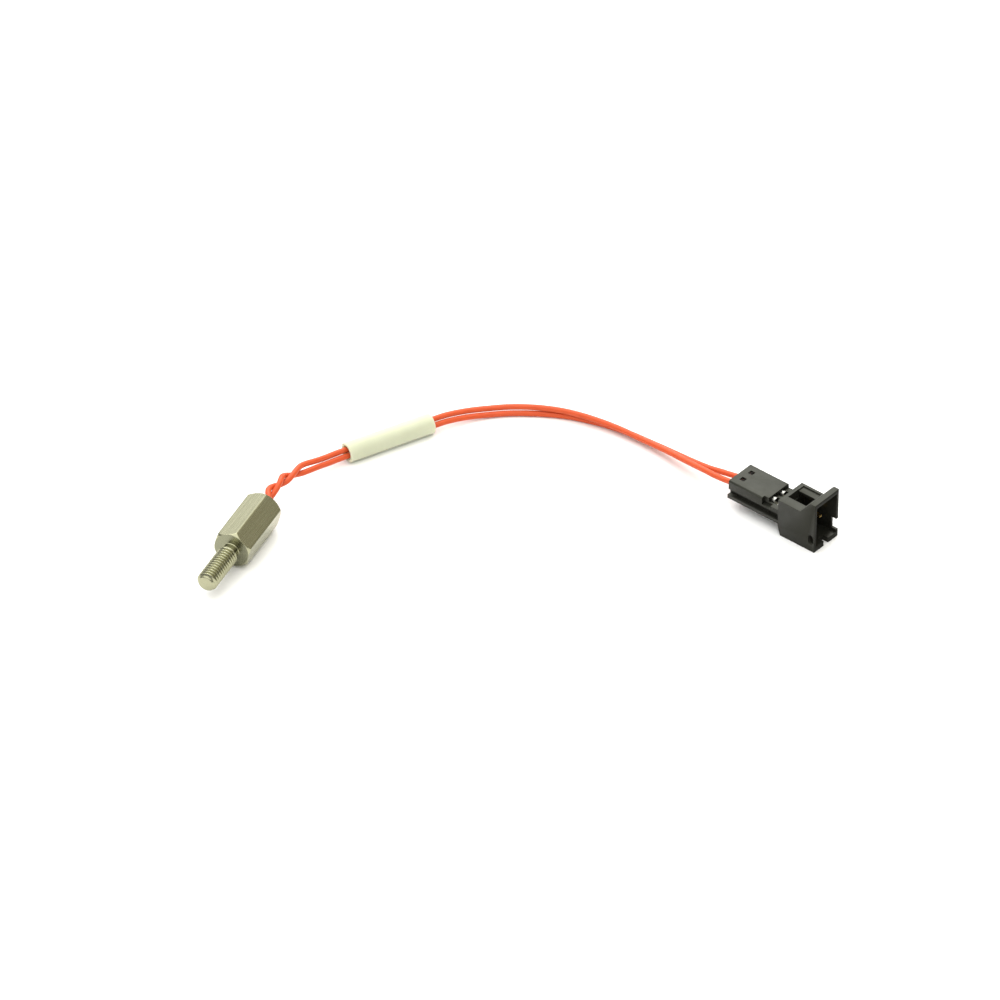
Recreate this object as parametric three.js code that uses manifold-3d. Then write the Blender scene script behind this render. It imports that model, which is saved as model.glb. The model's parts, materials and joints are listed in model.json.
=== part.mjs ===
// Stud-type sensing probe: a stainless hexagon body with a screwed stud, a pair of insulated wires
// that pass through a loose sleeve, and a two-way in-line plug housing with crimped pins.
// Millimetres, +Z up. +X is the way the stud screws in. The origin is under the middle of the
// probe, on the surface that the whole assembly lies on.
import * as THREE from "three";
import { mergeVertices } from "three/addons/utils/BufferGeometryUtils.js";
import Module from "manifold-3d";

// ---- Driving dimensions -------------------------------------------------------------------

// Probe body
const ACROSS_FLATS = 7;
const HEX_LENGTH = 14;
const STUD_LENGTH = 11;
const STUD_DIAMETER = 4;
const THREAD_PITCH = 0.7;
const THREAD_DEPTH = 0.43;
const UNDERCUT_LENGTH = 1.1;
const TIP_CHAMFER = 0.6;
const HEX_CHAMFER = 0.6;
const ROLL = THREE.MathUtils.degToRad(17);

// What the probe holds, measured in from the rear face of the hexagon
const BORE_DIAMETER = 5;
const BORE_DEPTH = 11.8;
const BORE_CONE = 1;
const WIRE_START = 2.6;
const WIRE_SPREAD = 0.6;
const CONDUCTOR_RADIUS = 0.2;
const SPLICE_START = 5.3;
const SPLICE_LENGTH = 1.2;
const SPLICE_RADIUS = 0.33;
const TUBE_START = 3.0;
const TUBE_END = 8.4;
const TUBE_OUTER = 0.56;
const TUBE_INNER = 0.42;
const BEAD_CENTRE = 10.1;
const BEAD_HALF_LENGTH = 1.2;
const BEAD_RADIUS = 0.95;
const ELEMENT_LEAD_RADIUS = 0.13;
const POTTING_START = 0.6;
const POTTING_END = 11.3;
const POTTING_GAP = 0.1;
const SMALL_GAP = 0.1;

// Wires
const WIRE_DIAMETER = 1.15;
const PAIR_HALF_GAP = 0.6;
const WIRE_SIDES = 8;
const WIRE_STEPS = 72;
const TWIST_STEPS = 28;
const TWIST_END = 20;

// Loose sleeve on the wires
const SLEEVE_START = new THREE.Vector3(-36.56, 5.84, 2);
const SLEEVE_END = new THREE.Vector3(-51.54, 16.55, 2);
const SLEEVE_OUTER = 2;
const SLEEVE_INNER = 1.45;

// Plug housing, in its own frame: x runs forward to the mouth at 0, z is up from its base, and y
// is 0 midway between the two circuits
const PLUG_PLACE = new THREE.Vector3(-50.91, 98.58, 0);
const PLUG_TURN = THREE.MathUtils.degToRad(73.8);
const CIRCUIT_PITCH = 2.54;
const PLUG_LENGTH = 21.2;
const SHROUD_SIDES = [-3.9, 3.2];
const SHROUD_LENGTH = 8.85;
const SHROUD_HEIGHT = 8.1;
const SHROUD_WALL = 0.55;
const SHROUD_RAKE = 0.6;
const CAVITY_DEPTH = 7.9;
const CAVITY_FLOOR = 1.1;
const CAVITY_TOP = 7.2;
const HOOD_HEIGHT = 11.05;
const HOOD_THICK = 0.9;
const HOOD_FLAT = 1.25;
const HOOD_RAMP = 2.35;
const RAIL_WIDTH = 0.6;
const POCKET_DEPTH = 0.3;
const LATCH_REAR = -8.05;
const LATCH_FRONT = -3.9;
const LATCH_HALF_WIDTH = 1.5;
const LEDGE_HALF_WIDTH = 3.7;
const BODY_BASE = 2.3;
const BODY_TOP = 6.2;
const LEDGE_TOP = 3.1;
const GROOVE_TOP = 4.2;
const GROOVE_IN = 0.85;
const BODY_IN = 0.3;
const TOP_CHAMFER = 0.25;
const NECK_REAR = -12.05;
const NECK_TOP = 5.2;
const CIRCUIT_Z = 4.3;
const CHANNEL_HALF_WIDTH = 0.88;
const CHANNEL_BOTTOM = -0.95;
const CHANNEL_SHOULDER = 0.8;
const CHANNEL_FRONT = -10;
const PIN_PASSAGE = 0.45;
const PROBE_HOLE = 1;
const PROBE_HOLE_X = -19.4;
const PROBE_HOLE_DEPTH = 0.7;
const SIDE_NOTCH = [-13.1, -11.1];
const SIDE_NOTCH_BOTTOM = 4.6;
const SIDE_NOTCH_DEPTH = 0.8;
const NOTCH_DEPTH = 1.25;

// Pin contacts, along the housing's x
const PIN_HALF = 0.32;
const PIN_TIP = -2.7;
const PIN_TAPER = 0.7;
const BARREL_FRONT = -11.3;
const BARREL_REAR = -13.3;
const BARREL_HALF_WIDTH = 0.72;
const BARREL_BOTTOM = -0.72;
const BARREL_SHOULDER = 0.75;
const CORE_CRIMP = [-17.0, -14.2];
const CORE_CRIMP_INNER = 0.32;
const CORE_CRIMP_OUTER = 0.5;
const JACKET_CRIMP = [-19.95, -17.7];
const JACKET_CRIMP_INNER = 0.65;
const JACKET_CRIMP_OUTER = 0.8;
const STRIP_HALF_WIDTH = 0.25;
const STRIP_BOTTOM = -0.8;
const STRIP_TOP = -0.62;
const JACKET_END = -17.3;
const LEAD_IN = 1.5;
const LEAD_IN_DROP = 0.5;
const ENTRY_DROP = 0.05;

// ---- Derived places -------------------------------------------------------------------------

const HEX_RADIUS = ACROSS_FLATS / Math.sqrt(3);
const LOWEST_CORNER = THREE.MathUtils.degToRad(30) - ROLL;
const AXIS_HEIGHT = HEX_RADIUS * Math.cos(LOWEST_CORNER);
const REAR_X = -(HEX_LENGTH + STUD_LENGTH) / 2;
const SEAT_X = REAR_X + HEX_LENGTH;
const TIP_X = SEAT_X + STUD_LENGTH;
const SIDES = { a: 1, b: -1 };

// The middle line of the wire pair, from its start in the bore to the insulation's end in the
// plug. The last four points lie over the axis of the plug housing; the first two of them are a
// little low, because the pair rises into the housing.
const plugAxis = new THREE.Vector3(Math.cos(PLUG_TURN), Math.sin(PLUG_TURN), 0);
const onPlugAxis = (x, drop = 0) =>
  PLUG_PLACE.clone()
    .addScaledVector(plugAxis, x)
    .setZ(CIRCUIT_Z - drop);

const route = [
  [REAR_X + WIRE_START, 0, AXIS_HEIGHT],
  [REAR_X, 0, AXIS_HEIGHT],
  [-14.8, -0.3, 4.1],
  [-17.2, -0.7, 4.4],
  [-19.6, -0.4, 4.5],
  [-22.2, 0, 4.3],
  [-24.2, 0.5, 4],
  [-26.9, 1.3, 3.55],
  [-29.7, 2.5, 3],
  [-32.6, 3.6, 2.3],
  [-34.8, 4.6, 2],
  [-36.8, 6, 2],
  [-44.4, 11.4, 2],
  [-52, 16.9, 2],
  [-54.3, 18.6, 1.95],
  [-57.5, 21.2, 1.5],
  [-60.2, 24.3, 1.17],
  [-62.6, 28.2, 1.14],
  [-64.6, 33.3, 1.2],
  [-65.8, 38.4, 1.22],
  [-66.1, 43.6, 1.2],
  [-65.7, 49.4, 1.17],
  [-64.2, 56.2, 1.27],
  [-62.5, 61.4, 1.75],
  [-60.4, 66.5, 2.5],
  [-58.6, 71.3, 3.2],
];
const middleLine = new THREE.CatmullRomCurve3(
  [
    ...route.map((p) => new THREE.Vector3(...p)),
    onPlugAxis(-PLUG_LENGTH - LEAD_IN, LEAD_IN_DROP),
    onPlugAxis(-PLUG_LENGTH, ENTRY_DROP),
    onPlugAxis(JACKET_CRIMP[0]),
    onPlugAxis(JACKET_END),
  ],
  false,
  "centripetal",
);
const leadLength = middleLine.getLength();
const entry = leadLength - PLUG_LENGTH - JACKET_END;

// How the pair lies about its middle line: distance along it, the angle of wire a from the
// horizontal, and half the distance between the two wires.
const pairKeys = [
  [0, 540, WIRE_SPREAD],
  [WIRE_START, 540, WIRE_SPREAD],
  [7.2, 398, PAIR_HALF_GAP],
  [9.8, 308, PAIR_HALF_GAP],
  [14.5, 128, PAIR_HALF_GAP],
  [18, 50, 0.72],
  [22, 47, PAIR_HALF_GAP],
  [50, 48, PAIR_HALF_GAP],
  [63, 52, 0.61],
  [75, 100, PAIR_HALF_GAP],
  [86, 134, PAIR_HALF_GAP],
  [98, 150, PAIR_HALF_GAP],
  [107, 168, 0.68],
  [entry - 5, 176, 0.93],
  [entry - LEAD_IN, 179, 1.08],
  [entry, 180, CIRCUIT_PITCH / 2],
  [leadLength, 180, CIRCUIT_PITCH / 2],
];

// ---- Shape helpers --------------------------------------------------------------------------

const wasm = await Module();
wasm.setup();

function toSolid(geometry) {
  const bare = geometry.clone();
  bare.deleteAttribute("normal");
  bare.deleteAttribute("uv");
  const merged = mergeVertices(bare, 1e-4);
  return new wasm.Manifold(
    new wasm.Mesh({
      numProp: 3,
      vertProperties: new Float32Array(merged.attributes.position.array),
      triVerts: new Uint32Array(merged.index.array),
    }),
  );
}

function toGeometry(solid) {
  const mesh = solid.getMesh();
  const geometry = new THREE.BufferGeometry();
  geometry.setAttribute("position", new THREE.BufferAttribute(mesh.vertProperties, 3));
  geometry.setIndex(new THREE.BufferAttribute(mesh.triVerts, 1));
  geometry.computeVertexNormals();
  return geometry;
}

function boxBetween(x, y, z) {
  const size = [x, y, z].map(([low, high]) => high - low);
  const middle = [x, y, z].map(([low, high]) => (high + low) / 2);
  return toSolid(new THREE.BoxGeometry(...size).translate(...middle));
}

// A closed profile of [distance along x, radius] points, turned about the x axis.
function turned(profile, segments = 32) {
  const points = profile.map(([along, radius]) => new THREE.Vector2(radius, along));
  return new THREE.LatheGeometry(points, segments).rotateZ(-Math.PI / 2);
}

function rod(start, end, radius, segments = 16) {
  return turned([[start, 0], [start, radius], [end, radius], [end, 0]], segments);
}

function ring(start, end, inner, outer, segments = 24) {
  return turned(
    [[start, inner], [start, outer], [end, outer], [end, inner], [start, inner]],
    segments,
  );
}

// An outline of [across, up] points, extruded along x between two places.
function barAlongX(outline, start, end) {
  const shape = new THREE.Shape(outline.map(([across, up]) => new THREE.Vector2(across, up)));
  const bar = new THREE.ExtrudeGeometry(shape, { depth: end - start, bevelEnabled: false });
  const toRow = new THREE.Matrix4().makeBasis(
    new THREE.Vector3(0, 1, 0),
    new THREE.Vector3(0, 0, 1),
    new THREE.Vector3(1, 0, 0),
  );
  return bar.applyMatrix4(toRow).translate(start, 0, 0);
}

// An outline of [along, up] points, extruded across y between two places.
function plateAcrossY(outline, start, end) {
  const shape = new THREE.Shape(outline.map(([along, up]) => new THREE.Vector2(along, up)));
  const plate = new THREE.ExtrudeGeometry(shape, { depth: end - start, bevelEnabled: false });
  return plate.rotateX(Math.PI / 2).translate(0, end, 0);
}

// A smooth curve through [distance, value, value] keys, with its slope set by the neighbours.
function keyed(keys, distance) {
  const last = keys.length - 2;
  let i = 0;
  while (i < last && distance > keys[i + 1][0]) i += 1;
  const [from, to] = [keys[i], keys[i + 1]];
  const before = keys[Math.max(i - 1, 0)];
  const after = keys[Math.min(i + 2, keys.length - 1)];
  const span = to[0] - from[0];
  const t = THREE.MathUtils.clamp((distance - from[0]) / span, 0, 1);
  return [1, 2].map((column) => {
    const slopeIn = (to[column] - before[column]) / (to[0] - before[0]);
    const slopeOut = (after[column] - from[column]) / (after[0] - from[0]);
    const rise = to[column] - from[column];
    const flat = Math.abs(rise) < 1e-9;
    const tangentIn = flat ? 0 : slopeIn * span;
    const tangentOut = flat ? 0 : slopeOut * span;
    return (
      from[column] +
      rise * t * t * (3 - 2 * t) +
      tangentIn * t * (1 - t) * (1 - t) -
      tangentOut * t * t * (1 - t)
    );
  });
}

// One wire of the pair. Its steps are short where the pair is twisted and long elsewhere.
class PairedWire extends THREE.Curve {
  constructor(side) {
    super();
    this.side = side;
  }

  getUtoTmapping(u) {
    const twistShare = TWIST_STEPS / WIRE_STEPS;
    const twistEnd = TWIST_END / leadLength;
    if (u < twistShare) return (u / twistShare) * twistEnd;
    return twistEnd + ((u - twistShare) / (1 - twistShare)) * (1 - twistEnd);
  }

  getPoint(t, target = new THREE.Vector3()) {
    const tangent = middleLine.getTangentAt(t);
    const level = new THREE.Vector3(-tangent.y, tangent.x, 0).normalize();
    const upright = new THREE.Vector3().crossVectors(tangent, level);
    const [degrees, halfGap] = keyed(pairKeys, t * leadLength);
    const angle = THREE.MathUtils.degToRad(degrees);
    return target
      .copy(middleLine.getPointAt(t))
      .addScaledVector(level, this.side * halfGap * Math.cos(angle))
      .addScaledVector(upright, this.side * halfGap * Math.sin(angle));
  }
}

// ---- Materials ------------------------------------------------------------------------------

function material(color, roughness, metalness) {
  return new THREE.MeshStandardMaterial({ color, roughness, metalness });
}

const stainless = material(0xb9b6a6, 0.32, 1);
const orangeInsulation = material(0xf0401c, 0.42, 0);
const ivorySleeve = material(0xe9e6d2, 0.55, 0);
const blackNylon = material(0x2b2b29, 0.5, 0);
const tinned = material(0xc9c9c4, 0.3, 1);
const goldPlate = material(0xcfa14a, 0.25, 1);
const glassBead = material(0x3a2e28, 0.2, 0);
const epoxy = material(0x1d1c1b, 0.45, 0);
const clearTube = material(0xd8d2c4, 0.5, 0);

function node(name, geometry, look) {
  const mesh = new THREE.Mesh(geometry, look);
  mesh.name = name;
  return mesh;
}

// ---- Probe ----------------------------------------------------------------------------------

function studProfile() {
  const core = STUD_DIAMETER / 2 - THREAD_DEPTH;
  const crest = STUD_DIAMETER / 2;
  const threadStart = SEAT_X + UNDERCUT_LENGTH;
  const threadEnd = TIP_X - TIP_CHAMFER;
  const turns = Math.floor((threadEnd - threadStart) / THREAD_PITCH);
  const profile = [[SEAT_X - 1, 0], [SEAT_X - 1, core], [threadStart, core]];
  for (let i = 0; i < turns; i += 1) {
    const rootEnd = threadStart + i * THREAD_PITCH;
    profile.push([rootEnd + THREAD_PITCH * 0.45, crest]);
    profile.push([rootEnd + THREAD_PITCH * 0.6, crest]);
    profile.push([rootEnd + THREAD_PITCH, core]);
  }
  profile.push([TIP_X, core]);
  profile.push([TIP_X, 0]);
  return profile;
}

function probeBody() {
  const corners = Array.from({ length: 6 }, (_, i) => {
    const angle = ROLL + (i * Math.PI) / 3;
    return [HEX_RADIUS * Math.cos(angle), HEX_RADIUS * Math.sin(angle)];
  });
  const flat = ACROSS_FLATS / 2;
  const chamfered = turned(
    [
      [REAR_X, 0],
      [REAR_X, flat],
      [REAR_X + HEX_CHAMFER, HEX_RADIUS],
      [SEAT_X - HEX_CHAMFER, HEX_RADIUS],
      [SEAT_X, flat],
      [SEAT_X, 0],
    ],
    48,
  );
  const bore = turned(
    [
      [REAR_X - 1, 0],
      [REAR_X - 1, BORE_DIAMETER / 2],
      [REAR_X + BORE_DEPTH, BORE_DIAMETER / 2],
      [REAR_X + BORE_DEPTH + BORE_CONE, 0],
    ],
    24,
  );
  const body = toSolid(barAlongX(corners, REAR_X, SEAT_X))
    .intersect(toSolid(chamfered))
    .add(toSolid(turned(studProfile(), 20)))
    .subtract(toSolid(bore));
  return toGeometry(body);
}

function pottingCompound() {
  const outer = BORE_DIAMETER / 2 - POTTING_GAP;
  const start = REAR_X + POTTING_START;
  const end = REAR_X + POTTING_END;
  const aroundBead = REAR_X + TUBE_END + SMALL_GAP;
  const halfWidth = WIRE_SPREAD + TUBE_OUTER + SMALL_GAP;
  const halfHeight = TUBE_OUTER + SMALL_GAP;
  const fill = toSolid(rod(start, end, outer, 24))
    .subtract(
      boxBetween([start - 1, end - 1.5], [-halfWidth, halfWidth], [-halfHeight, halfHeight]),
    )
    .subtract(toSolid(rod(aroundBead, end + 1, BEAD_RADIUS + SMALL_GAP, 20)));
  return toGeometry(fill);
}

function sensingBead() {
  return new THREE.SphereGeometry(1, 16, 10)
    .rotateZ(-Math.PI / 2)
    .scale(BEAD_HALF_LENGTH, BEAD_RADIUS, BEAD_RADIUS)
    .translate(REAR_X + BEAD_CENTRE, 0, 0);
}

function buildProbe() {
  const probe = new THREE.Group();
  probe.position.z = AXIS_HEIGHT;
  probe.add(node("probe_body", probeBody(), stainless));
  probe.add(node("potting_compound", pottingCompound(), epoxy));
  probe.add(node("sensing_bead", sensingBead(), glassBead));
  const spliceEnd = SPLICE_START + SPLICE_LENGTH;
  const leadEnd = BEAD_CENTRE - BEAD_HALF_LENGTH;
  for (const [letter, side] of Object.entries(SIDES)) {
    const circuit = new THREE.Group();
    circuit.position.set(REAR_X, side * WIRE_SPREAD, 0);
    circuit.add(
      node(
        `conductor_probe_end_${letter}`,
        rod(WIRE_START + SMALL_GAP, SPLICE_START - SMALL_GAP, CONDUCTOR_RADIUS, 10),
        tinned,
      ),
      node(`splice_joint_${letter}`, rod(SPLICE_START, spliceEnd, SPLICE_RADIUS, 12), tinned),
      node(
        `splice_tube_${letter}`,
        ring(TUBE_START, TUBE_END, TUBE_INNER, TUBE_OUTER, 16),
        clearTube,
      ),
      node(
        `element_lead_${letter}`,
        rod(spliceEnd + SMALL_GAP, leadEnd + SMALL_GAP, ELEMENT_LEAD_RADIUS, 8),
        tinned,
      ),
    );
    probe.add(circuit);
  }
  return probe;
}

// ---- Wires and sleeve -----------------------------------------------------------------------

function wireGeometry(side) {
  const corners = Array.from({ length: WIRE_SIDES }, (_, i) => {
    const angle = (i * 2 * Math.PI) / WIRE_SIDES;
    return new THREE.Vector2(Math.cos(angle), Math.sin(angle)).multiplyScalar(WIRE_DIAMETER / 2);
  });
  return new THREE.ExtrudeGeometry(new THREE.Shape(corners), {
    steps: WIRE_STEPS,
    bevelEnabled: false,
    extrudePath: new PairedWire(side),
  });
}

function buildSleeve() {
  const along = SLEEVE_END.clone().sub(SLEEVE_START);
  const half = along.length() / 2;
  const sleeve = node(
    "wire_sleeve",
    ring(-half, half, SLEEVE_INNER, SLEEVE_OUTER, 32),
    ivorySleeve,
  );
  sleeve.position.copy(SLEEVE_START).addScaledVector(along, 0.5);
  sleeve.rotation.z = Math.atan2(along.y, along.x);
  return sleeve;
}

// ---- Plug housing ---------------------------------------------------------------------------

function rearBody() {
  const wide = LEDGE_HALF_WIDTH;
  const inner = wide - GROOVE_IN;
  const upper = wide - BODY_IN;
  const half = [
    [wide, BODY_BASE],
    [wide, LEDGE_TOP],
    [inner, LEDGE_TOP],
    [inner, GROOVE_TOP],
    [upper, GROOVE_TOP],
    [upper, BODY_TOP - TOP_CHAMFER],
    [upper - TOP_CHAMFER, BODY_TOP],
  ];
  const mirrored = half.map(([across, up]) => [-across, up]).reverse();
  return toSolid(barAlongX([...half, ...mirrored], -PLUG_LENGTH, -SHROUD_LENGTH + 0.2));
}

function shroudBody() {
  const hoodStart = -HOOD_FLAT - HOOD_RAMP;
  const side = [
    [-SHROUD_LENGTH + SHROUD_RAKE, 0],
    [0, 0],
    [0, HOOD_HEIGHT],
    [-HOOD_FLAT, HOOD_HEIGHT],
    [hoodStart, SHROUD_HEIGHT],
    [-SHROUD_LENGTH, SHROUD_HEIGHT],
    [-SHROUD_LENGTH, BODY_BASE - 0.4],
  ];
  return toSolid(plateAcrossY(side, ...SHROUD_SIDES));
}

function shroudCavity() {
  const [near, far] = SHROUD_SIDES;
  const hoodTop = HOOD_HEIGHT - HOOD_THICK;
  const hoodInner = -HOOD_FLAT + 0.4;
  const side = [
    [-CAVITY_DEPTH, CAVITY_FLOOR],
    [1, CAVITY_FLOOR],
    [1, hoodTop],
    [hoodInner, hoodTop],
    [hoodInner - HOOD_RAMP, CAVITY_TOP],
    [-CAVITY_DEPTH, CAVITY_TOP],
  ];
  return toSolid(plateAcrossY(side, near + SHROUD_WALL, far - SHROUD_WALL));
}

// A closed outline with straight sides, a flat bottom and a half-round top, as [across, up].
function archOutline(halfWidth, bottom, shoulder) {
  const outline = [[-halfWidth, bottom], [halfWidth, bottom]];
  for (let i = 0; i <= 8; i += 1) {
    const angle = (i / 8) * Math.PI;
    outline.push([halfWidth * Math.cos(angle), shoulder + halfWidth * Math.sin(angle)]);
  }
  return outline;
}

function roundedSlot(along, up) {
  const [x0, x1] = along;
  const [z0, z1] = up;
  const radius = (x1 - x0) / 2;
  const middle = (x0 + x1) / 2;
  const outline = [];
  for (let i = 0; i <= 8; i += 1) {
    const angle = (i / 8) * Math.PI;
    outline.push([middle + radius * Math.cos(angle), z1 - radius + radius * Math.sin(angle)]);
  }
  for (let i = 0; i <= 8; i += 1) {
    const angle = Math.PI + (i / 8) * Math.PI;
    outline.push([middle + radius * Math.cos(angle), z0 + radius + radius * Math.sin(angle)]);
  }
  return outline;
}

function plugHousing() {
  const [near, far] = SHROUD_SIDES;
  const middle = (near + far) / 2;
  const beyond = LEDGE_HALF_WIDTH + 1;
  const upper = LEDGE_HALF_WIDTH - BODY_IN;
  const cuts = [
    shroudCavity(),
    // Neck: the rear body is lower just behind the shroud, so the contacts show
    boxBetween([NECK_REAR, -SHROUD_LENGTH], [-beyond, beyond], [NECK_TOP, BODY_TOP + 1]),
    // Latch window, and the shallow pocket that runs from it to the far rail
    boxBetween(
      [LATCH_REAR, LATCH_FRONT],
      [middle - LATCH_HALF_WIDTH, middle + LATCH_HALF_WIDTH],
      [CAVITY_TOP - 1, SHROUD_HEIGHT + 1],
    ),
    boxBetween(
      [LATCH_REAR + 0.1, LATCH_FRONT + 0.15],
      [middle - LATCH_HALF_WIDTH, far - RAIL_WIDTH],
      [SHROUD_HEIGHT - POCKET_DEPTH, SHROUD_HEIGHT + 1],
    ),
    // Key notches at the mouth: one in the far side wall, one in the floor
    boxBetween([-NOTCH_DEPTH, 1], [far - SHROUD_WALL - 0.5, beyond], [1.7, 4.15]),
    boxBetween([-NOTCH_DEPTH, 1], [middle - 0.65, middle + 0.65], [-1, CAVITY_FLOOR + 0.5]),
    // Slotted hole and its lead-in groove in the near side wall
    toSolid(
      plateAcrossY(roundedSlot([-1.5, -0.4], [1.65, 3.7]), -beyond, near + SHROUD_WALL + 0.3),
    ),
    boxBetween([-0.9, 1], [-beyond, near + 0.12], [2.1, 3.3]),
    // Notch in the rear body's near top edge, where the neck starts
    boxBetween(SIDE_NOTCH, [-beyond, -upper + SIDE_NOTCH_DEPTH], [SIDE_NOTCH_BOTTOM, BODY_TOP + 1]),
  ];
  for (const side of Object.values(SIDES)) {
    const across = (side * CIRCUIT_PITCH) / 2;
    const hole = PROBE_HOLE / 2;
    const channel = barAlongX(
      archOutline(CHANNEL_HALF_WIDTH, CHANNEL_BOTTOM, CHANNEL_SHOULDER),
      -PLUG_LENGTH - 1,
      CHANNEL_FRONT,
    );
    cuts.push(
      toSolid(channel.translate(0, across, CIRCUIT_Z)),
      boxBetween(
        [CHANNEL_FRONT - 1, -CAVITY_DEPTH + 0.5],
        [across - PIN_PASSAGE, across + PIN_PASSAGE],
        [CIRCUIT_Z - PIN_PASSAGE, CIRCUIT_Z + PIN_PASSAGE],
      ),
      boxBetween(
        [PROBE_HOLE_X - hole, PROBE_HOLE_X + hole],
        [across - hole, across + hole],
        [BODY_TOP - PROBE_HOLE_DEPTH, BODY_TOP + 1],
      ),
    );
  }
  const whole = shroudBody().add(rearBody());
  return toGeometry(cuts.reduce((solid, cut) => solid.subtract(cut), whole));
}

function pinContact() {
  const pinOutline = [
    [BARREL_FRONT - 0.5, -PIN_HALF],
    [PIN_TIP - PIN_TAPER, -PIN_HALF],
    [PIN_TIP, -PIN_HALF / 2],
    [PIN_TIP, PIN_HALF / 2],
    [PIN_TIP - PIN_TAPER, PIN_HALF],
    [BARREL_FRONT - 0.5, PIN_HALF],
  ];
  const crimps = [
    toSolid(ring(...CORE_CRIMP, CORE_CRIMP_INNER, CORE_CRIMP_OUTER, 16)),
    toSolid(ring(...JACKET_CRIMP, JACKET_CRIMP_INNER, JACKET_CRIMP_OUTER, 16)),
    boxBetween(
      [JACKET_CRIMP[0], BARREL_REAR + 1],
      [-STRIP_HALF_WIDTH, STRIP_HALF_WIDTH],
      [STRIP_BOTTOM, STRIP_TOP],
    ),
    boxBetween(
      CORE_CRIMP,
      [-STRIP_HALF_WIDTH, STRIP_HALF_WIDTH],
      [STRIP_BOTTOM, -CORE_CRIMP_INNER - 0.05],
    ),
    toSolid(
      barAlongX(
        archOutline(BARREL_HALF_WIDTH, BARREL_BOTTOM, BARREL_SHOULDER),
        BARREL_REAR,
        BARREL_FRONT,
      ),
    ),
  ];
  const pin = toSolid(plateAcrossY(pinOutline, -PIN_HALF, PIN_HALF));
  return toGeometry(crimps.reduce((solid, piece) => solid.add(piece), pin));
}

function buildPlug() {
  const plug = new THREE.Group();
  plug.position.copy(PLUG_PLACE);
  plug.rotation.z = PLUG_TURN;
  plug.add(node("connector_housing", plugHousing(), blackNylon));
  for (const [letter, side] of Object.entries(SIDES)) {
    const circuit = new THREE.Group();
    circuit.position.set(0, (-side * CIRCUIT_PITCH) / 2, CIRCUIT_Z);
    circuit.add(
      node(`pin_contact_${letter}`, pinContact(), goldPlate),
      node(
        `conductor_plug_end_${letter}`,
        rod(JACKET_END + SMALL_GAP, BARREL_REAR - 0.3, CONDUCTOR_RADIUS, 10),
        tinned,
      ),
    );
    plug.add(circuit);
  }
  return plug;
}

// ---- Whole part -----------------------------------------------------------------------------

const part = new THREE.Group();
part.name = "sensing_probe";
part.add(buildProbe());
for (const [letter, side] of Object.entries(SIDES)) {
  part.add(node(`wire_${letter}`, wireGeometry(side), orangeInsulation));
}
part.add(buildSleeve());
part.add(buildPlug());

export default part;
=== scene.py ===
"""The looks of a stud-type sensing probe: a stainless hexagon body with a threaded stud, a twisted
pair of orange-red wires, a loose ivory sleeve and a black two-way plug housing.

Shapes are worked out in millimetres and turned into metres when their mesh is made."""

import json
import math

import bmesh
import bpy
import numpy as np
from mathutils import Matrix, Vector


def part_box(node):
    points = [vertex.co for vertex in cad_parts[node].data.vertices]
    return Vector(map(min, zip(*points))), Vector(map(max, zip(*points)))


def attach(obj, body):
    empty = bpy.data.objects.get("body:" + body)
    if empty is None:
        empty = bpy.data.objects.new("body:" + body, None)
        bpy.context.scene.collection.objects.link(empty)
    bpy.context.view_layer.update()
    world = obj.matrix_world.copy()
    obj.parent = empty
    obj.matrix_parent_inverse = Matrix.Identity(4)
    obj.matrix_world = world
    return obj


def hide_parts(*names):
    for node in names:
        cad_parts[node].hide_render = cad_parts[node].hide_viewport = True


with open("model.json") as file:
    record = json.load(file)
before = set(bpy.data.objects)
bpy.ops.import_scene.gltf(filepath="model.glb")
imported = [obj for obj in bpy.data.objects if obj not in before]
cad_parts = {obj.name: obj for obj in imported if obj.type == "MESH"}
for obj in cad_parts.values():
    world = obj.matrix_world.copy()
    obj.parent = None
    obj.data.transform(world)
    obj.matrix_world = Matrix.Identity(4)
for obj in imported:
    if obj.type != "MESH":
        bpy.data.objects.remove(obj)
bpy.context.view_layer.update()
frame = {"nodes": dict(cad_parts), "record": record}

# ---- Dimensions, in millimetres --------------------------------------------------------------

MM = 0.001
PROBE_BODY = "probe_and_lead"
SLEEVE_BODY = "sleeve"

# Camera: its bearing and height are in degrees, and it looks at AIM on the floor
CAMERA_AZIMUTH = 114.34
CAMERA_ELEVATION = 38.0
CAMERA_AIM = (-37.66, 37.29, 0.0)
VIEW_WIDTH = 188.7
LENS = 300.0
SENSOR = 36.0

# Probe body
ACROSS_FLATS = 7.0
HEX_CHAMFER = 0.6
CORNER_ROUND = 0.12
HEX_ROLL = 17.0
STUD_RADIUS = 2.0
THREAD_PITCH = 0.7
THREAD_DEPTH = 0.43
UNDERCUT = 1.1
TIP_CHAMFER = 0.6
BORE_RADIUS = 2.5
BORE_DEPTH = 11.8
BORE_CONE = 1.0
POTTING_START = 0.6
POTTING_END = 11.3
POTTING_CAP = 1.6
POTTING_RADIUS = 2.42
POTTING_HOLLOW = 1.35

# Wires
WIRE_DIAMETER = 1.15
WIRE_START = 2.6
WIRE_SPREAD = 0.6
PAIR_HALF_GAP = 0.6
PLUG_LENGTH = 21.2
JACKET_END = -17.3
JACKET_CRIMP_START = -19.95
LEAD_IN = 1.5
LEAD_IN_DROP = 0.5
ENTRY_DROP = 0.05
CIRCUIT_PITCH = 2.54
CIRCUIT_Z = 4.3
CIRCUITS_OFF_MOUTH = 0.35
PLATING_CHANGE = -9.0
HOUSING_EDGE_ROUNDING = 0.06
# Heights, in millimetres, over which the painted highlight on the plug's upper faces fades in
PAINTED_HIGHLIGHT_HEIGHTS = (4.3, 5.0)
WIRE_POINTS = 260
WIRE_SIDES = 20
SIDES = {"a": 1, "b": -1}

# Sleeve
SLEEVE_START = Vector((-36.56, 5.84, 2.0))
SLEEVE_END = Vector((-51.54, 16.55, 2.0))
SLEEVE_OUTER = 2.0
SLEEVE_INNER = 1.45


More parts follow.
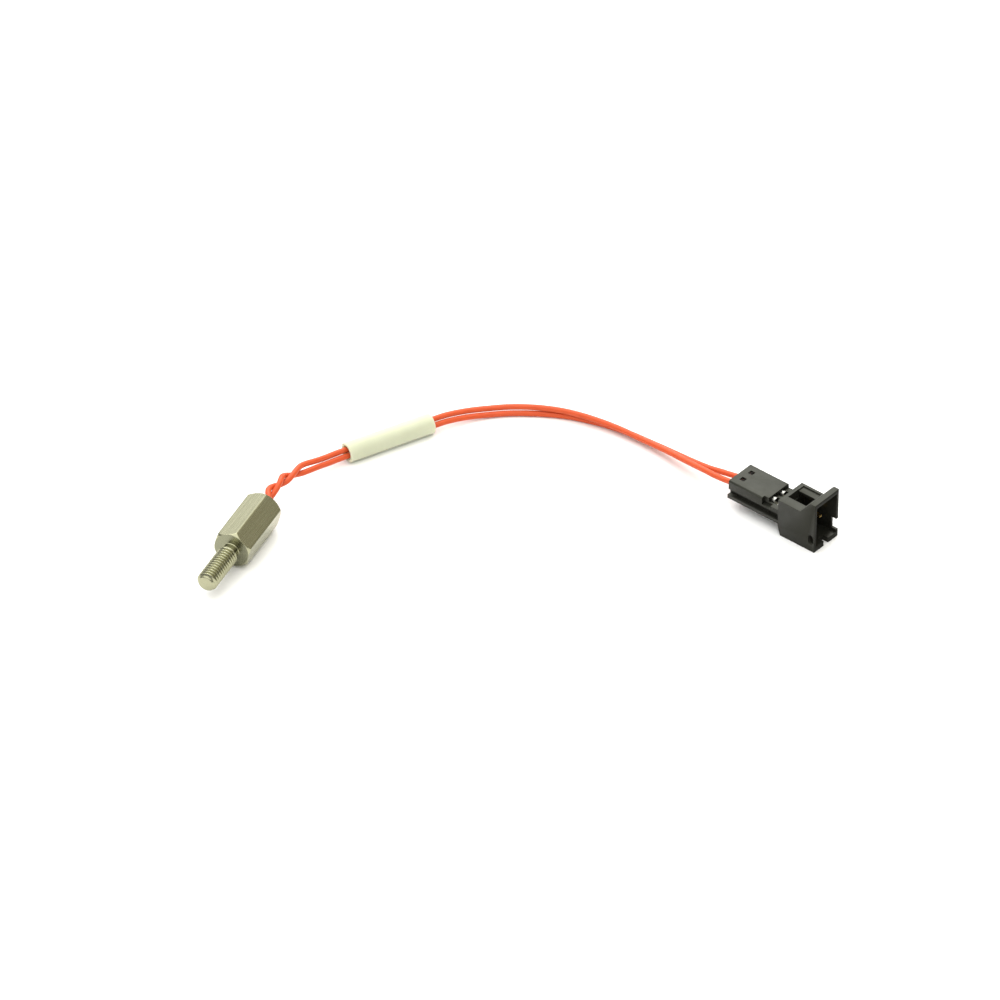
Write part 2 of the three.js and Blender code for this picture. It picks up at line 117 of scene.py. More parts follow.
# ---- Places that the frame gives, in millimetres ---------------------------------------------

mounts = {mount["name"]: mount for mount in frame["record"]["mounts"]}
body_low, body_high = (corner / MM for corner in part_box("probe_body"))
potting_low, potting_high = (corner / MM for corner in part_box("potting_compound"))
REAR_X = body_low.x
TIP_X = body_high.x
SEAT_X = mounts["seat_face"]["pos_m"][0] / MM
AXIS_HEIGHT = (potting_low.z + potting_high.z) / 2
plug_mouth = Vector(mounts["plug_mouth"]["pos_m"]) / MM
PLUG_FORWARD = Vector(mounts["plug_mouth"]["axis"]).normalized()
PLUG_SIDE = Vector((-PLUG_FORWARD.y, PLUG_FORWARD.x, 0))
PLUG_PLACE = Vector((plug_mouth.x, plug_mouth.y, 0)) + PLUG_SIDE * CIRCUITS_OFF_MOUTH


# ---- Camera ----------------------------------------------------------------------------------


def make_camera():
    azimuth = math.radians(CAMERA_AZIMUTH)
    elevation = math.radians(CAMERA_ELEVATION)
    back = Vector(
        (
            math.sin(azimuth) * math.cos(elevation),
            -math.cos(azimuth) * math.cos(elevation),
            math.sin(elevation),
        )
    )
    data = bpy.data.cameras.new("camera")
    data.lens = LENS
    data.sensor_width = SENSOR
    data.clip_start = 0.05
    data.clip_end = 50
    camera = bpy.data.objects.new("camera", data)
    bpy.context.scene.collection.objects.link(camera)
    distance = VIEW_WIDTH * LENS / SENSOR
    camera.location = (Vector(CAMERA_AIM) + back * distance) * MM
    camera.rotation_euler = (-back).to_track_quat("-Z", "Y").to_euler()
    bpy.context.scene.camera = camera


make_camera()


# ---- Mesh helpers ----------------------------------------------------------------------------


def link_mesh(name, vertices, faces, smooth=True):
    """A mesh object from millimetre vertices."""
    mesh = bpy.data.meshes.new(name)
    mesh.from_pydata([tuple(Vector(v) * MM) for v in vertices], [], faces)
    mesh.update()
    obj = bpy.data.objects.new(name, mesh)
    bpy.context.scene.collection.objects.link(obj)
    if smooth:
        mesh.shade_smooth()
    return obj


def ring_mesh(name, rings, closed_loop=False):
    """A closed skin over rings of points. The end rings are capped, or joined to each other."""
    count = len(rings[0])
    vertices = [point for ring in rings for point in ring]
    faces = []
    last = len(rings) if closed_loop else len(rings) - 1
    for i in range(last):
        j = (i + 1) % len(rings)
        for k in range(count):
            m = (k + 1) % count
            faces.append((i * count + k, i * count + m, j * count + m, j * count + k))
    if not closed_loop:
        faces.append(tuple(range(count - 1, -1, -1)))
        faces.append(tuple(range((len(rings) - 1) * count, len(rings) * count)))
    return link_mesh(name, vertices, faces)


def around_x(x, radius, count, centre_z=0.0):
    """A ring about the x axis. x and radius are numbers, or functions of the angle."""
    points = []
    for k in range(count):
        angle = 2 * math.pi * k / count
        r = radius(angle) if callable(radius) else radius
        at = x(angle) if callable(x) else x
        points.append((at, r * math.cos(angle), centre_z + r * math.sin(angle)))
    return points


def sharpen(obj, degrees):
    """Flat faces stay flat and round ones smooth: edges past an angle are marked sharp."""
    mesh = obj.data
    work = bmesh.new()
    work.from_mesh(mesh)
    for edge in work.edges:
        if len(edge.link_faces) == 2:
            edge.smooth = edge.calc_face_angle() < math.radians(degrees)
    work.to_mesh(mesh)
    work.free()


def bevel(obj, width):
    """Rounds an object's hard edges and keeps its flat faces flat."""
    modifier = obj.modifiers.new("rounded edges", "BEVEL")
    modifier.width = width * MM
    modifier.segments = 2
    modifier.limit_method = "ANGLE"
    modifier.angle_limit = math.radians(30)
    modifier.harden_normals = True
    modifier.use_clamp_overlap = True


def to_row(obj, matrix):
    obj.data.transform(matrix)
    obj.data.update()


# ---- Wires -----------------------------------------------------------------------------------


def on_plug_axis(x, drop=0.0):
    return PLUG_PLACE + PLUG_FORWARD * x + Vector((0, 0, CIRCUIT_Z - drop))


ROUTE = [
    Vector((REAR_X + WIRE_START, 0, AXIS_HEIGHT)),
    Vector((REAR_X, 0, AXIS_HEIGHT)),
    Vector((-14.8, -0.3, 4.1)),
    Vector((-17.2, -0.7, 4.4)),
    Vector((-19.6, -0.4, 4.5)),
    Vector((-22.2, 0, 4.3)),
    Vector((-24.2, 0.5, 4)),
    Vector((-26.9, 1.3, 3.55)),
    Vector((-29.7, 2.5, 3)),
    Vector((-32.6, 3.6, 2.3)),
    Vector((-34.8, 4.6, 2)),
    Vector((-36.8, 6, 2)),
    Vector((-44.4, 11.4, 2)),
    Vector((-52, 16.9, 2)),
    Vector((-54.3, 18.6, 1.95)),
    Vector((-57.5, 21.2, 1.5)),
    Vector((-60.2, 24.3, 1.17)),
    Vector((-62.6, 28.2, 1.14)),
    Vector((-64.6, 33.3, 1.2)),
    Vector((-65.8, 38.4, 1.22)),
    Vector((-66.1, 43.6, 1.2)),
    Vector((-65.7, 49.4, 1.17)),
    Vector((-64.2, 56.2, 1.27)),
    Vector((-62.5, 61.4, 1.75)),
    Vector((-60.4, 66.5, 2.5)),
    Vector((-58.6, 71.3, 3.2)),
    on_plug_axis(-PLUG_LENGTH - LEAD_IN, LEAD_IN_DROP),
    on_plug_axis(-PLUG_LENGTH, ENTRY_DROP),
    on_plug_axis(JACKET_CRIMP_START),
    on_plug_axis(JACKET_END),
]


def catmull_rom(points, steps=60):
    """A centripetal Catmull-Rom curve through the points, as many short steps."""
    padded = [2 * points[0] - points[1], *points, 2 * points[-1] - points[-2]]
    curve = []
    for i in range(1, len(padded) - 2):
        p0, p1, p2, p3 = padded[i - 1 : i + 3]
        d0, d1, d2 = ((b - a).length ** 0.5 for a, b in ((p0, p1), (p1, p2), (p2, p3)))
        slope1 = ((p1 - p0) / d0 - (p2 - p0) / (d0 + d1) + (p2 - p1) / d1) * d1
        slope2 = ((p2 - p1) / d1 - (p3 - p1) / (d1 + d2) + (p3 - p2) / d2) * d1
        for k in range(steps):
            t = k / steps
            curve.append(
                p1 * (2 * t**3 - 3 * t**2 + 1)
                + slope1 * (t**3 - 2 * t**2 + t)
                + p2 * (3 * t**2 - 2 * t**3)
                + slope2 * (t**3 - t**2)
            )
    curve.append(points[-1])
    return np.array(curve)


middle_line = catmull_rom(ROUTE)
middle_steps = np.linalg.norm(np.diff(middle_line, axis=0), axis=1)
middle_along = np.concatenate([[0], np.cumsum(middle_steps)])
LEAD_LENGTH = middle_along[-1]
ENTRY = LEAD_LENGTH - PLUG_LENGTH - JACKET_END

# How the pair lies about its middle line: distance along it, the angle of wire a from the
# horizontal in degrees, and half the distance between the two wires.
PAIR_KEYS = [
    (0, 540, WIRE_SPREAD),
    (WIRE_START, 540, WIRE_SPREAD),
    (7.2, 398, PAIR_HALF_GAP),
    (9.8, 308, PAIR_HALF_GAP),
    (14.5, 128, PAIR_HALF_GAP),
    (18, 50, 0.72),
    (22, 47, PAIR_HALF_GAP),
    (50, 48, PAIR_HALF_GAP),
    (63, 52, 0.61),
    (75, 100, PAIR_HALF_GAP),
    (86, 134, PAIR_HALF_GAP),
    (98, 150, PAIR_HALF_GAP),
    (107, 168, 0.68),
    (ENTRY - 5, 176, 0.93),
    (ENTRY - LEAD_IN, 179, 1.08),
    (ENTRY, 180, CIRCUIT_PITCH / 2),
    (LEAD_LENGTH, 180, CIRCUIT_PITCH / 2),
]


def keyed(keys, distance):
    """A smooth curve through the keys' values, with its slope set by their neighbours."""
    last = len(keys) - 2
    i = 0
    while i < last and distance > keys[i + 1][0]:
        i += 1
    start, end = keys[i], keys[i + 1]
    before, after = keys[max(i - 1, 0)], keys[min(i + 2, len(keys) - 1)]
    span = end[0] - start[0]
    t = min(max((distance - start[0]) / span, 0), 1)
    values = []
    for column in (1, 2):
        rise = end[column] - start[column]
        slope_in = (end[column] - before[column]) / (end[0] - before[0]) * span
        slope_out = (after[column] - start[column]) / (after[0] - start[0]) * span
        if abs(rise) < 1e-9:
            slope_in = slope_out = 0
        values.append(
            start[column]
            + rise * t * t * (3 - 2 * t)
            + slope_in * t * (1 - t) ** 2
            - slope_out * t * t * (1 - t)
        )
    return values


def middle_at(distance):
    """The middle line's point and direction at a distance along it."""

    def point(d):
        return Vector([np.interp(d, middle_along, middle_line[:, k]) for k in range(3)])

    low, high = max(distance - 0.05, 0), min(distance + 0.05, LEAD_LENGTH)
    return point(distance), (point(high) - point(low)).normalized()


def wire_line(side):
    points = []
    for i in range(WIRE_POINTS):
        distance = LEAD_LENGTH * i / (WIRE_POINTS - 1)
        centre, tangent = middle_at(distance)
        level = Vector((-tangent.y, tangent.x, 0)).normalized()
        upright = tangent.cross(level)
        degrees, half_gap = keyed(PAIR_KEYS, distance)
        angle = math.radians(degrees)
        offset = level * math.cos(angle) + upright * math.sin(angle)
        points.append(centre + offset * side * half_gap)
    return points


def tube_rings(points, radius, count):
    """Rings of points square to a line, carried along it without twisting."""
    rings = []
    across = Vector((0, 0, 1))
    for i, point in enumerate(points):
        ahead = points[min(i + 1, len(points) - 1)] - points[max(i - 1, 0)]
        ahead.normalize()
        across = (across - ahead * across.dot(ahead)).normalized()
        side = ahead.cross(across)
        turns = [2 * math.pi * k / count for k in range(count)]
        rings.append([point + (across * math.cos(t) + side * math.sin(t)) * radius for t in turns])
    return rings


def make_wire(letter, side):
    points = wire_line(side)
    wire = ring_mesh(f"insulated_wire_{letter}", tube_rings(points, WIRE_DIAMETER / 2, WIRE_SIDES))
    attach(wire, PROBE_BODY)
    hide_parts(f"wire_{letter}")
    return wire, points


wires = {letter: make_wire(letter, side) for letter, side in SIDES.items()}


# ---- Materials -------------------------------------------------------------------------------


class Look:
    """A node material on one Principled shader, with helpers for patterns that are in
    millimetres of the object's own space."""

    def __init__(self, name, base, roughness, metallic=0.0, **sockets):
        self.material = bpy.data.materials.new(name)
        self.material.use_nodes = True
        self.tree = self.material.node_tree
        self.shader = self.tree.nodes["Principled BSDF"]
        self.set("Base Color", (*base, 1))
        self.set("Roughness", roughness)
        self.set("Metallic", metallic)
        for socket, value in sockets.items():
            self.set(socket.replace("_", " "), value)
        self.space = self.tree.nodes.new("ShaderNodeTexCoord").outputs["Object"]

    def set(self, socket, value):
        self.shader.inputs[socket].default_value = value

    def node(self, kind, **settings):
        made = self.tree.nodes.new("ShaderNode" + kind)
        for key, value in settings.items():
            setattr(made, key, value)
        return made

    def link(self, output, target):
        self.tree.links.new(output, target)

    def scaled(self, scale):
        """Object space, scaled by a number of patterns per millimetre."""
        mapping = self.node("Mapping", vector_type="POINT")
        per_metre = [s / MM for s in (scale if hasattr(scale, "__len__") else (scale,) * 3)]
        mapping.inputs["Scale"].default_value = per_metre
        self.link(self.space, mapping.inputs["Vector"])
        return mapping.outputs["Vector"]

    def noise(self, scale, detail=3.0):
        texture = self.node("TexNoise")
        texture.inputs["Scale"].default_value = 1.0
        texture.inputs["Detail"].default_value = detail
        texture.inputs["Roughness"].default_value = 0.55
        self.link(self.scaled(scale), texture.inputs["Vector"])
        return texture.outputs["Fac"]

    def remap(self, value, low, high, to_low, to_high):
        made = self.node("MapRange")
        for socket, number in (
            ("From Min", low),
            ("From Max", high),
            ("To Min", to_low),
            ("To Max", to_high),
        ):
            made.inputs[socket].default_value = number
        self.link(value, made.inputs["Value"])
        return made.outputs["Result"]

    def blend_colors(self, factor, first, second):
        """A colour between two, each a colour or another node's output."""
        mix = self.node("Mix", data_type="RGBA")
        self.link(factor, mix.inputs["Factor"])
        for socket, color in ((mix.inputs["A"], first), (mix.inputs["B"], second)):
            if isinstance(color, bpy.types.NodeSocket):
                self.link(color, socket)
            else:
                socket.default_value = (*color, 1)
        return mix.outputs["Result"]

    def base_color(self, output):
        self.link(output, self.shader.inputs["Base Color"])

    def facing(self, axis, start, end):
        """From 0 to 1 as the surface turns to face along an axis of the object's space."""
        dot = self.node("VectorMath", operation="DOT_PRODUCT")
        dot.inputs[1].default_value = axis
        self.link(self.node("TexCoord").outputs["Normal"], dot.inputs[0])
        return self.remap(dot.outputs["Value"], start, end, 0, 1)

    def beyond(self, axis, start, end):
        """From 0 to 1 between two distances, in millimetres, along an axis of the object's space."""
        dot = self.node("VectorMath", operation="DOT_PRODUCT")
        dot.inputs[1].default_value = axis
        self.link(self.space, dot.inputs[0])
        return self.remap(dot.outputs["Value"], start * MM, end * MM, 0, 1)

    def times(self, first, second):
        made = self.node("Math", operation="MULTIPLY")
        self.link(first, made.inputs[0])
        self.link(second, made.inputs[1])
        return made.outputs["Value"]

    def roughness(self, output):
        self.link(output, self.shader.inputs["Roughness"])

    def bump(self, height, strength, depth, after=None):
        """Adds relief of a depth in millimetres, over any relief made before it."""
        made = self.node("Bump")
        made.inputs["Strength"].default_value = strength
        made.inputs["Distance"].default_value = depth * MM
        self.link(height, made.inputs["Height"])
        if after is not None:
            self.link(after, made.inputs["Normal"])
        self.link(made.outputs["Normal"], self.shader.inputs["Normal"])
        return made.outputs["Normal"]


def stainless_look():
    """Drawn and turned stainless bar: fine marks along the flats, a warm grey-olive tone, and
    painted shade that darkens the hexagon's front face round the stud."""
    look = Look("stainless", (0.34, 0.33, 0.22), 0.3, 1.0)
    streaks = look.noise((0.08, 7, 7), detail=4)
    clouds = look.noise(0.35, detail=2)
    tone = look.blend_colors(clouds, (0.295, 0.29, 0.18), (0.37, 0.365, 0.25))
    drawn = look.blend_colors(streaks, tone, (0.34, 0.335, 0.225))
    # Painted shade: the hexagon's front face round the stud gets a darker colour, standing in for
    # shade that falls there
    forward = look.facing((1, 0, 0), 0.9, 0.97)
    on_hexagon = look.beyond((-1, 0, 0), -SEAT_X - 0.05, -SEAT_X)
    seat_face = look.times(forward, on_hexagon)
    look.base_color(look.blend_colors(seat_face, drawn, (0.22, 0.22, 0.15)))
    look.roughness(look.remap(streaks, 0.3, 0.7, 0.18, 0.32))
    look.bump(streaks, 0.2, 0.008)
    return look.material


def insulation_look():
    """Extruded orange-red insulation with a slight gloss and a faint uneven surface."""
    look = Look("wire_insulation", (0.56, 0.075, 0.02), 0.4, Specular_IOR_Level=0.26)
    clouds = look.noise(0.5, detail=3)
    fine = look.noise(6, detail=3)
    look.base_color(look.blend_colors(clouds, (0.53, 0.064, 0.014), (0.6, 0.09, 0.026)))
    look.roughness(look.remap(fine, 0.3, 0.7, 0.32, 0.46))
    look.bump(fine, 0.2, 0.02)
    return look.material


def sleeve_look():
    """Matt ivory sleeving, a little translucent, with faint handling marks."""
    look = Look("ivory_sleeve", (0.53, 0.55, 0.41), 0.55, Specular_IOR_Level=0.2)
    look.set("Subsurface Weight", 0.6)
    look.set("Subsurface Radius", (1, 1, 0.8))
    look.set("Subsurface Scale", 1.5 * MM)
    clouds = look.noise(0.3, detail=3)
    fine = look.noise(9, detail=2)
    look.base_color(look.blend_colors(clouds, (0.5, 0.52, 0.38), (0.56, 0.58, 0.44)))
    look.roughness(look.remap(fine, 0.3, 0.7, 0.48, 0.62))
    look.bump(fine, 0.15, 0.02)
    return look.material


def nylon_look():
    """Moulded black nylon with a fine spark-eroded grain. Its upper faces are painted paler, a
    painted highlight for light falling from above, and the faces at the mouth are duller."""
    look = Look("black_nylon", (0.01, 0.01, 0.008), 0.42)
    look.set("Specular Tint", (1, 1, 0.84, 1))
    clouds = look.noise(0.35, detail=3)
    grain = look.noise(11, detail=2)
    # Painted highlight: upward faces high on the plug get a paler colour, standing in for light from
    # above
    painted_top_highlight = look.blend_colors(clouds, (0.0185, 0.0195, 0.015), (0.0235, 0.0245, 0.0195))
    moulded = look.blend_colors(clouds, (0.008, 0.008, 0.006), (0.012, 0.012, 0.01))
    upward = look.facing((0, 0, 1), 0.45, 0.9)
    outside = look.beyond((0, 0, 1), *PAINTED_HIGHLIGHT_HEIGHTS)
    look.base_color(look.blend_colors(look.times(upward, outside), moulded, painted_top_highlight))
    at_mouth = look.facing(PLUG_FORWARD, 0.6, 0.95)
    look.link(look.remap(at_mouth, 0, 1, 0.25, 0.05), look.shader.inputs["Specular IOR Level"])
    look.roughness(look.remap(clouds, 0.3, 0.7, 0.36, 0.48))
    look.bump(grain, 0.3, 0.012)
    return look.material


def plated_look(name, low, high, roughness):
    """Bright plated metal, a little uneven."""
    look = Look(name, low, roughness, 1.0)
    clouds = look.noise(1.5, detail=3)
    look.base_color(look.blend_colors(clouds, low, high))
    look.roughness(look.remap(clouds, 0.3, 0.7, roughness * 0.8, roughness * 1.3))
    look.bump(look.noise(14, detail=2), 0.15, 0.01)
    return look.material


def contact_look():
    """A stamped contact, tin plated at its crimps and gold plated along its pin."""
    look = Look("contact_plating", (0.35, 0.35, 0.31), 0.28, 1.0)
    clouds = look.noise(1.5, detail=3)
    tin_tone = look.blend_colors(clouds, (0.3, 0.3, 0.27), (0.4, 0.4, 0.37))
    gold_tone = look.blend_colors(clouds, (0.78, 0.52, 0.18), (0.86, 0.6, 0.24))
    change = PLUG_PLACE.dot(PLUG_FORWARD) + PLATING_CHANGE
    on_pin = look.beyond(PLUG_FORWARD, change - 0.3, change + 0.3)
    look.base_color(look.blend_colors(on_pin, tin_tone, gold_tone))
    look.roughness(look.remap(clouds, 0.3, 0.7, 0.2, 0.36))
    look.bump(look.noise(14, detail=2), 0.15, 0.01)
    return look.material


def cast_look(name, low, high, roughness):
    """A cast or drawn plastic that fills or insulates inside the probe."""
    look = Look(name, low, roughness)
    clouds = look.noise(1.1, detail=3)
    look.base_color(look.blend_colors(clouds, low, high))
    look.roughness(look.remap(clouds, 0.3, 0.7, roughness * 0.85, roughness * 1.2))
    look.bump(look.noise(5, detail=2), 0.2, 0.03)
    return look.material


stainless = stainless_look()
insulation = insulation_look()
ivory = sleeve_look()
nylon = nylon_look()
contact = contact_look()
tin = plated_look("tin_plate", (0.55, 0.55, 0.51), (0.64, 0.64, 0.6), 0.3)
epoxy = cast_look("epoxy", (0.03, 0.028, 0.026), (0.05, 0.045, 0.04), 0.4)
bead_glass = cast_look("bead_glass", (0.1, 0.06, 0.04), (0.16, 0.1, 0.06), 0.15)
tubing = cast_look("clear_tubing", (0.7, 0.66, 0.58), (0.78, 0.74, 0.66), 0.45)


def paint(obj, *materials):
    obj.data.materials.clear()
    for material in materials:
        obj.data.materials.append(material)


# ---- Probe body ------------------------------------------------------------------------------

HEX_RADIUS = ACROSS_FLATS / math.sqrt(3)
BODY_SEGMENTS = 168


def hexagon_radius(angle):
    """Distance from the axis to a hexagon with slightly rounded corners."""
    local = (angle - math.radians(HEX_ROLL)) % (math.pi / 3)
    from_flat = abs(local - math.pi / 6)
    flat = ACROSS_FLATS / 2 / math.cos(from_flat)
    # A circle that is tangent to both flats rounds each corner
    inset = HEX_RADIUS - CORNER_ROUND / math.cos(math.pi / 6)
    from_corner = math.pi / 6 - from_flat
    reach = CORNER_ROUND**2 - (inset * math.sin(from_corner)) ** 2
    if reach <= 0:
        return flat
    rounded = inset * math.cos(from_corner) + math.sqrt(reach)
    return min(flat, rounded)


def chamfered(x):
    """A ring of the hexagon at x, trimmed by the turned chamfer at its nearer end."""
    inward = min(x - REAR_X, SEAT_X - x)
    cone = ACROSS_FLATS / 2 + inward * (HEX_RADIUS - ACROSS_FLATS / 2) / HEX_CHAMFER
    return lambda angle: min(hexagon_radius(angle), cone)


def thread_height(phase):
    """How far the thread stands above its root, from 0 to 1, over one turn."""
    from_crest = abs((phase % 1.0) - 0.5) * 2
    rise = min(max((0.84 - from_crest) / (0.84 - 0.14), 0), 1)
    return rise * rise * (3 - 2 * rise) * 0.35 + rise * 0.65


def stud_radius(x):
    """A ring of the stud at x: undercut, thread that runs in over a turn, chamfered tip."""
    core = STUD_RADIUS - THREAD_DEPTH
    run_in = min(max((x - SEAT_X - UNDERCUT) / (THREAD_PITCH * 0.8), 0), 1)
    tip = STUD_RADIUS - TIP_CHAMFER + (TIP_X - x)

    def radius(angle):
        phase = (x - SEAT_X) / THREAD_PITCH - angle / (2 * math.pi)
        threaded = core + THREAD_DEPTH * thread_height(phase) * run_in
        return min(threaded, tip)

    return radius


def make_probe_body():
    count = BODY_SEGMENTS
    rings = []

    def ring(x, radius):
        rings.append(around_x(x, radius, count, centre_z=AXIS_HEIGHT))

    # Bore, from its drilled point out to the rear face
    ring(REAR_X + BORE_DEPTH + BORE_CONE, 0.05)
    ring(REAR_X + BORE_DEPTH, BORE_RADIUS)
    ring(REAR_X + BORE_DEPTH - 0.05, BORE_RADIUS)
    ring(REAR_X + 0.28, BORE_RADIUS)
    ring(REAR_X + 0.22, BORE_RADIUS)
    ring(REAR_X + 0.02, BORE_RADIUS + 0.2)
    ring(REAR_X, BORE_RADIUS + 0.23)
    ring(REAR_X, ACROSS_FLATS / 2 - 0.06)
    # Hexagon
    hex_steps = 10
    ring(REAR_X + 0.02, ACROSS_FLATS / 2 - 0.01)
    for i in range(1, hex_steps + 1):
        x = REAR_X + HEX_CHAMFER * i / hex_steps
        ring(x, chamfered(x))
    ring(REAR_X + HEX_CHAMFER + 0.05, hexagon_radius)
    ring(SEAT_X - HEX_CHAMFER - 0.05, hexagon_radius)
    for i in range(hex_steps, 0, -1):
        x = SEAT_X - HEX_CHAMFER * i / hex_steps
        ring(x, chamfered(x))
    ring(SEAT_X - 0.02, ACROSS_FLATS / 2 - 0.01)
    ring(SEAT_X, ACROSS_FLATS / 2 - 0.06)
    # Undercut with a small fillet, then the thread
    core = STUD_RADIUS - THREAD_DEPTH
    ring(SEAT_X, core + 0.16)
    ring(SEAT_X + 0.04, core + 0.06)
    ring(SEAT_X + 0.14, core)
    steps_per_turn = 14
    start = SEAT_X + UNDERCUT * 0.55
    steps = round((TIP_X - start) / THREAD_PITCH * steps_per_turn)
    for i in range(steps):
        x = start + (TIP_X - 0.03 - start) * i / (steps - 1)
        ring(x, stud_radius(x))
    ring(TIP_X, STUD_RADIUS - TIP_CHAMFER - 0.05)
    ring(TIP_X, 0.05)
    body = ring_mesh("probe_body_machined", rings)
    sharpen(body, 28)
    paint(body, stainless)
    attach(body, PROBE_BODY)
    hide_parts("probe_body")


def make_potting():
    """Epoxy that seals the bore, dished where it wetted the wall, hollow round the splices."""
    count = 48
    start = REAR_X + POTTING_START
    outline = [
        (REAR_X + POTTING_END, POTTING_HOLLOW),
        (start + POTTING_CAP, POTTING_HOLLOW),
        (start + POTTING_CAP, 0.02),
        (start + 0.12, 0.02),
        (start + 0.12, 1.2),
        (start + 0.1, 1.7),
        (start + 0.03, 2.1),
        (start - 0.12, 2.33),
        (start - 0.28, POTTING_RADIUS),
        (REAR_X + POTTING_END, POTTING_RADIUS),
    ]
    rings = [around_x(x, r, count, centre_z=AXIS_HEIGHT) for x, r in outline]
    potting = ring_mesh("potting_fill", rings, closed_loop=True)
    sharpen(potting, 50)
    paint(potting, epoxy)
    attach(potting, PROBE_BODY)
    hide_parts("potting_compound")


make_probe_body()
make_potting()


# ---- Sleeve ----------------------------------------------------------------------------------


def make_sleeve():
    """A soft tube cut by hand: its ends aren't quite square, and its bore edge is rounded."""
    along = SLEEVE_END - SLEEVE_START
    length = along.length
    count = 64
    lip = 0.12

    def ring(x, radius, skew=0.0):
        def at(angle):
            return x + skew * math.sin(angle + 0.6) * radius / SLEEVE_OUTER

        return around_x(at, radius, count)

    rings = []
    steps = 24
    for i in range(steps + 1):
        x = lip + (length - 2 * lip) * i / steps
        rings.append(ring(x, SLEEVE_OUTER))
    rings.append(ring(length - 0.03, SLEEVE_OUTER - 0.03, 0.03))
    rings.append(ring(length, SLEEVE_OUTER - lip, 0.03))
    rings.append(ring(length, SLEEVE_INNER + lip, 0.03))
    rings.append(ring(length - 0.04, SLEEVE_INNER + 0.03, 0.03))
    for i in range(steps, -1, -1):
        x = lip + (length - 2 * lip) * i / steps
        rings.append(ring(x, SLEEVE_INNER))
    rings.append(ring(0.04, SLEEVE_INNER + 0.03, -0.03))
    rings.append(ring(0, SLEEVE_INNER + lip, -0.03))
    rings.append(ring(0, SLEEVE_OUTER - lip, -0.03))
    rings.append(ring(0.03, SLEEVE_OUTER - 0.03, -0.03))
    sleeve = ring_mesh("insulating_sleeve", rings, closed_loop=True)
    turn = Matrix.Rotation(math.atan2(along.y, along.x), 4, "Z")
    to_row(sleeve, Matrix.Translation(SLEEVE_START * MM) @ turn)
    sharpen(sleeve, 60)
    paint(sleeve, ivory)
    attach(sleeve, SLEEVE_BODY)
    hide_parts("wire_sleeve")
    return sleeve


sleeve = make_sleeve()


# ---- Plug ------------------------------------------------------------------------------------


def clean_copy(node, name):
    """A copy of a CAD node with its flat faces whole, so that its edges can be rounded."""
    mesh = frame["nodes"][node].data.copy()
    mesh.name = name
    obj = bpy.data.objects.new(name, mesh)
    bpy.context.scene.collection.objects.link(obj)
    work = bmesh.new()
    work.from_mesh(mesh)
    bmesh.ops.remove_doubles(work, verts=work.verts, dist=0.002 * MM)
    bmesh.ops.dissolve_limit(
        work, angle_limit=math.radians(1), verts=work.verts, edges=work.edges
    )
    work.to_mesh(mesh)
    work.free()
    mesh.shade_smooth()
    return obj


def make_housing():
    housing = clean_copy("connector_housing", "plug_housing")
    bevel(housing, HOUSING_EDGE_ROUNDING)
    paint(housing, nylon)
    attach(housing, PROBE_BODY)
    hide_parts("connector_housing")
    return housing


housing = make_housing()


# ---- CAD pieces that keep their shape ---------------------------------------------------------

CARRIED_OVER = {
    "sensing_bead": bead_glass,
    "conductor_probe_end_": tin,
    "conductor_plug_end_": tin,
    "splice_joint_": tin,
    "splice_tube_": tubing,
    "element_lead_": tin,
    "pin_contact_": contact,
}
for node_name, node_object in frame["nodes"].items():
    for start, material in CARRIED_OVER.items():
        if node_name.startswith(start):
            paint(node_object, material)


# ---- Cords ------------------------------------------------------------------------------------


for letter, (wire, points) in wires.items():
    paint(wire, insulation)


# ---- Floor and light --------------------------------------------------------------------------

SOFTBOX_SIZE = (1.3, 0.7)
SOFTBOX_POWER = 8.6
ROOM_LOW = 0.03
ROOM_TOP = 2.6
ROOM_BEHIND = 0.7
ROOM_RIGHT = 0.63
ROOM_COLOR = (1, 1, 0.98, 1)
ROOM_COLOR_RIGHT = (1, 0.95, 0.78, 1)


def make_floor():
    size = 6000.0
    floor = link_mesh(
        "floor",
        [(-size, -size, 0), (size, -size, 0), (size, size, 0), (-size, size, 0)],
        [(0, 1, 2, 3)],
        smooth=False,
    )
    look = Look("floor", (0.9, 0.9, 0.9), 0.9, Specular_IOR_Level=0.1)
    clouds = look.noise(0.01, detail=2)
    look.base_color(look.blend_colors(clouds, (0.9, 0.9, 0.9), (0.91, 0.91, 0.91)))
    paint(floor, look.material)


def area_light(name, place, target, size, power):
    data = bpy.data.lights.new(name, "AREA")
    data.shape = "RECTANGLE"
    data.size, data.size_y = size
    data.energy = power
    light = bpy.data.objects.new(name, data)
    bpy.context.scene.collection.objects.link(light)
    light.location = place
    toward = Vector(target) - Vector(place)
    light.rotation_euler = toward.to_track_quat("-Z", "Y").to_euler()


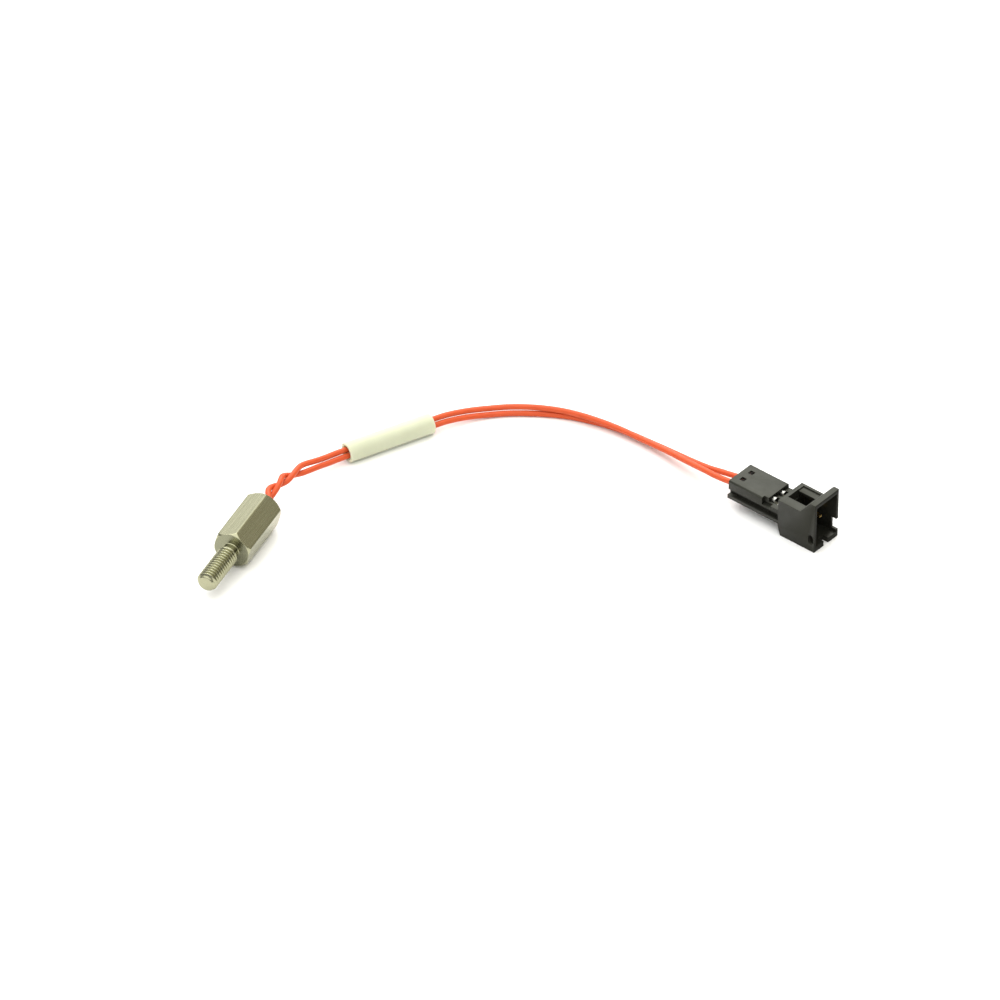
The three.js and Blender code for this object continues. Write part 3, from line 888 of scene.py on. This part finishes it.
def studio():
    """A softbox above and behind, in a room that is bright overhead and behind, dimmer and
    warmer on the right, and dark low down."""
    azimuth = math.radians(CAMERA_AZIMUTH)
    away = Vector((-math.sin(azimuth), math.cos(azimuth), 0))
    right = Vector((math.cos(azimuth), math.sin(azimuth), 0))
    up = Vector((0, 0, 1))
    aim = Vector(CAMERA_AIM) * MM
    area_light("softbox", aim + (away + up) * 0.9, aim, SOFTBOX_SIZE, SOFTBOX_POWER)

    world = bpy.data.worlds.new("studio")
    bpy.context.scene.world = world
    world.use_nodes = True
    tree = world.node_tree
    background = tree.nodes["Background"]
    direction = tree.nodes.new("ShaderNodeTexCoord").outputs["Generated"]

    def toward(axis, start, end, low, high):
        """A level that rises smoothly as the view direction turns toward an axis."""
        dot = tree.nodes.new("ShaderNodeVectorMath")
        dot.operation = "DOT_PRODUCT"
        dot.inputs[1].default_value = axis
        tree.links.new(direction, dot.inputs[0])
        level = tree.nodes.new("ShaderNodeMapRange")
        level.interpolation_type = "SMOOTHSTEP"
        sockets = ("From Min", "From Max", "To Min", "To Max")
        for socket, number in zip(sockets, (start, end, low, high)):
            level.inputs[socket].default_value = number
        tree.links.new(dot.outputs["Value"], level.inputs["Value"])
        return level.outputs["Result"]

    def combined(operation, first, second):
        made = tree.nodes.new("ShaderNodeMath")
        made.operation = operation
        tree.links.new(first, made.inputs[0])
        tree.links.new(second, made.inputs[1])
        return made.outputs["Value"]

    overhead = toward(up, 0, 1, ROOM_LOW, ROOM_TOP)
    behind = toward(away, 0.55, 1, 0, ROOM_BEHIND)
    side = toward(right, 0.1, 0.85, 1, ROOM_RIGHT)
    level = combined("MULTIPLY", combined("ADD", overhead, behind), side)
    tree.links.new(level, background.inputs["Strength"])
    warmth = tree.nodes.new("ShaderNodeMix")
    warmth.data_type = "RGBA"
    tree.links.new(toward(right, 0.1, 0.85, 0, 1), warmth.inputs["Factor"])
    warmth.inputs["A"].default_value = ROOM_COLOR
    warmth.inputs["B"].default_value = ROOM_COLOR_RIGHT
    tree.links.new(warmth.outputs["Result"], background.inputs["Color"])


make_floor()
studio()
bpy.context.scene.view_settings.view_transform = "Standard"
